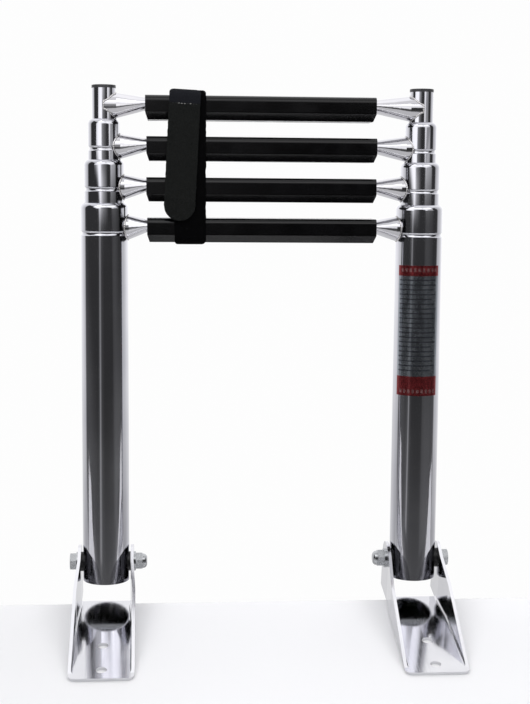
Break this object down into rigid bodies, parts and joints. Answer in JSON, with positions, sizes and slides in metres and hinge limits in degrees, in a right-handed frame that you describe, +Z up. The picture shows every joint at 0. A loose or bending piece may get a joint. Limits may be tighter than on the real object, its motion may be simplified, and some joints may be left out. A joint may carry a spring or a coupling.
{
  "type": "telescoping boat boarding ladder",
  "caption": "Telescoping stainless boarding ladder with black plastic treads, hinged on platform brackets and held closed by a hook-and-loop strap.",
  "frame": {"origin": "centre of the rectangle of bolt holes in the bracket bases, on the platform surface", "axes": "+Z up from the platform, +Y away from the platform towards the water, +X to the right when facing the water"},
  "size_m": [0.317, 0.2253, 0.4195],
  "materials": {
    "polished_stainless": "mirror-polished stainless steel",
    "bolt_stainless": "satin stainless fasteners",
    "tread_plastic": "ribbed black moulded plastic, semi-matt",
    "cap_plastic": "dark grey moulded plastic",
    "black_nylon": "black nylon",
    "strap_fabric": "black hook-and-loop webbing",
    "label_film": "printed film"
  },
  "bodies": {
    "brackets": {"left_bracket": "polished_stainless", "left_pivot_bolt": "bolt_stainless", "left_pivot_bolt_washer": "bolt_stainless", "left_pivot_nut_washer": "bolt_stainless", "left_pivot_dome_nut": "bolt_stainless", "right_bracket": "polished_stainless", "right_pivot_bolt": "bolt_stainless", "right_pivot_bolt_washer": "bolt_stainless", "right_pivot_nut_washer": "bolt_stainless", "right_pivot_dome_nut": "bolt_stainless"},
    "main_section": {"left_main_tube": "polished_stainless", "left_pivot_sleeve": "bolt_stainless", "left_saddle_spacers": "black_nylon", "left_main_guide_bush": "black_nylon", "right_main_tube": "polished_stainless", "right_pivot_sleeve": "bolt_stainless", "right_saddle_spacers": "black_nylon", "right_main_guide_bush": "black_nylon", "main_rung": "polished_stainless", "main_tread": "tread_plastic", "label_film": "label_film", "strap_loop": "strap_fabric", "strap_tab": "strap_fabric"},
    "first_section": {"left_first_tube": "polished_stainless", "left_first_stop_collar": "black_nylon", "left_first_guide_bush": "black_nylon", "right_first_tube": "polished_stainless", "right_first_stop_collar": "black_nylon", "right_first_guide_bush": "black_nylon", "first_rung": "polished_stainless", "first_tread": "tread_plastic"},
    "second_section": {"left_second_tube": "polished_stainless", "left_second_stop_collar": "black_nylon", "left_second_guide_bush": "black_nylon", "right_second_tube": "polished_stainless", "right_second_stop_collar": "black_nylon", "right_second_guide_bush": "black_nylon", "second_rung": "polished_stainless", "second_tread": "tread_plastic"},
    "third_section": {"left_third_tube": "polished_stainless", "left_third_stop_collar": "black_nylon", "left_end_cap": "cap_plastic", "right_third_tube": "polished_stainless", "right_third_stop_collar": "black_nylon", "right_end_cap": "cap_plastic", "third_rung": "polished_stainless", "third_tread": "tread_plastic"}
  },
  "joints": [
    {"name": "platform_pivot", "type": "hinge", "parent": "brackets", "child": "main_section", "pos_m": [0, 0.099, 0.035], "axis": [1, 0, 0], "range_deg": [-146, 101]},
    {"name": "first_slide", "type": "slide", "parent": "main_section", "child": "first_section", "axis": [0, 0.1994, 0.9799], "range_m": [0, 0.238], "deforming": ["strap_loop", "strap_tab"]},
    {"name": "second_slide", "type": "slide", "parent": "first_section", "child": "second_section", "axis": [0, 0.1994, 0.9799], "range_m": [0, 0.238]},
    {"name": "third_slide", "type": "slide", "parent": "second_section", "child": "third_section", "axis": [0, 0.1994, 0.9799], "range_m": [0, 0.238]}
  ]
}
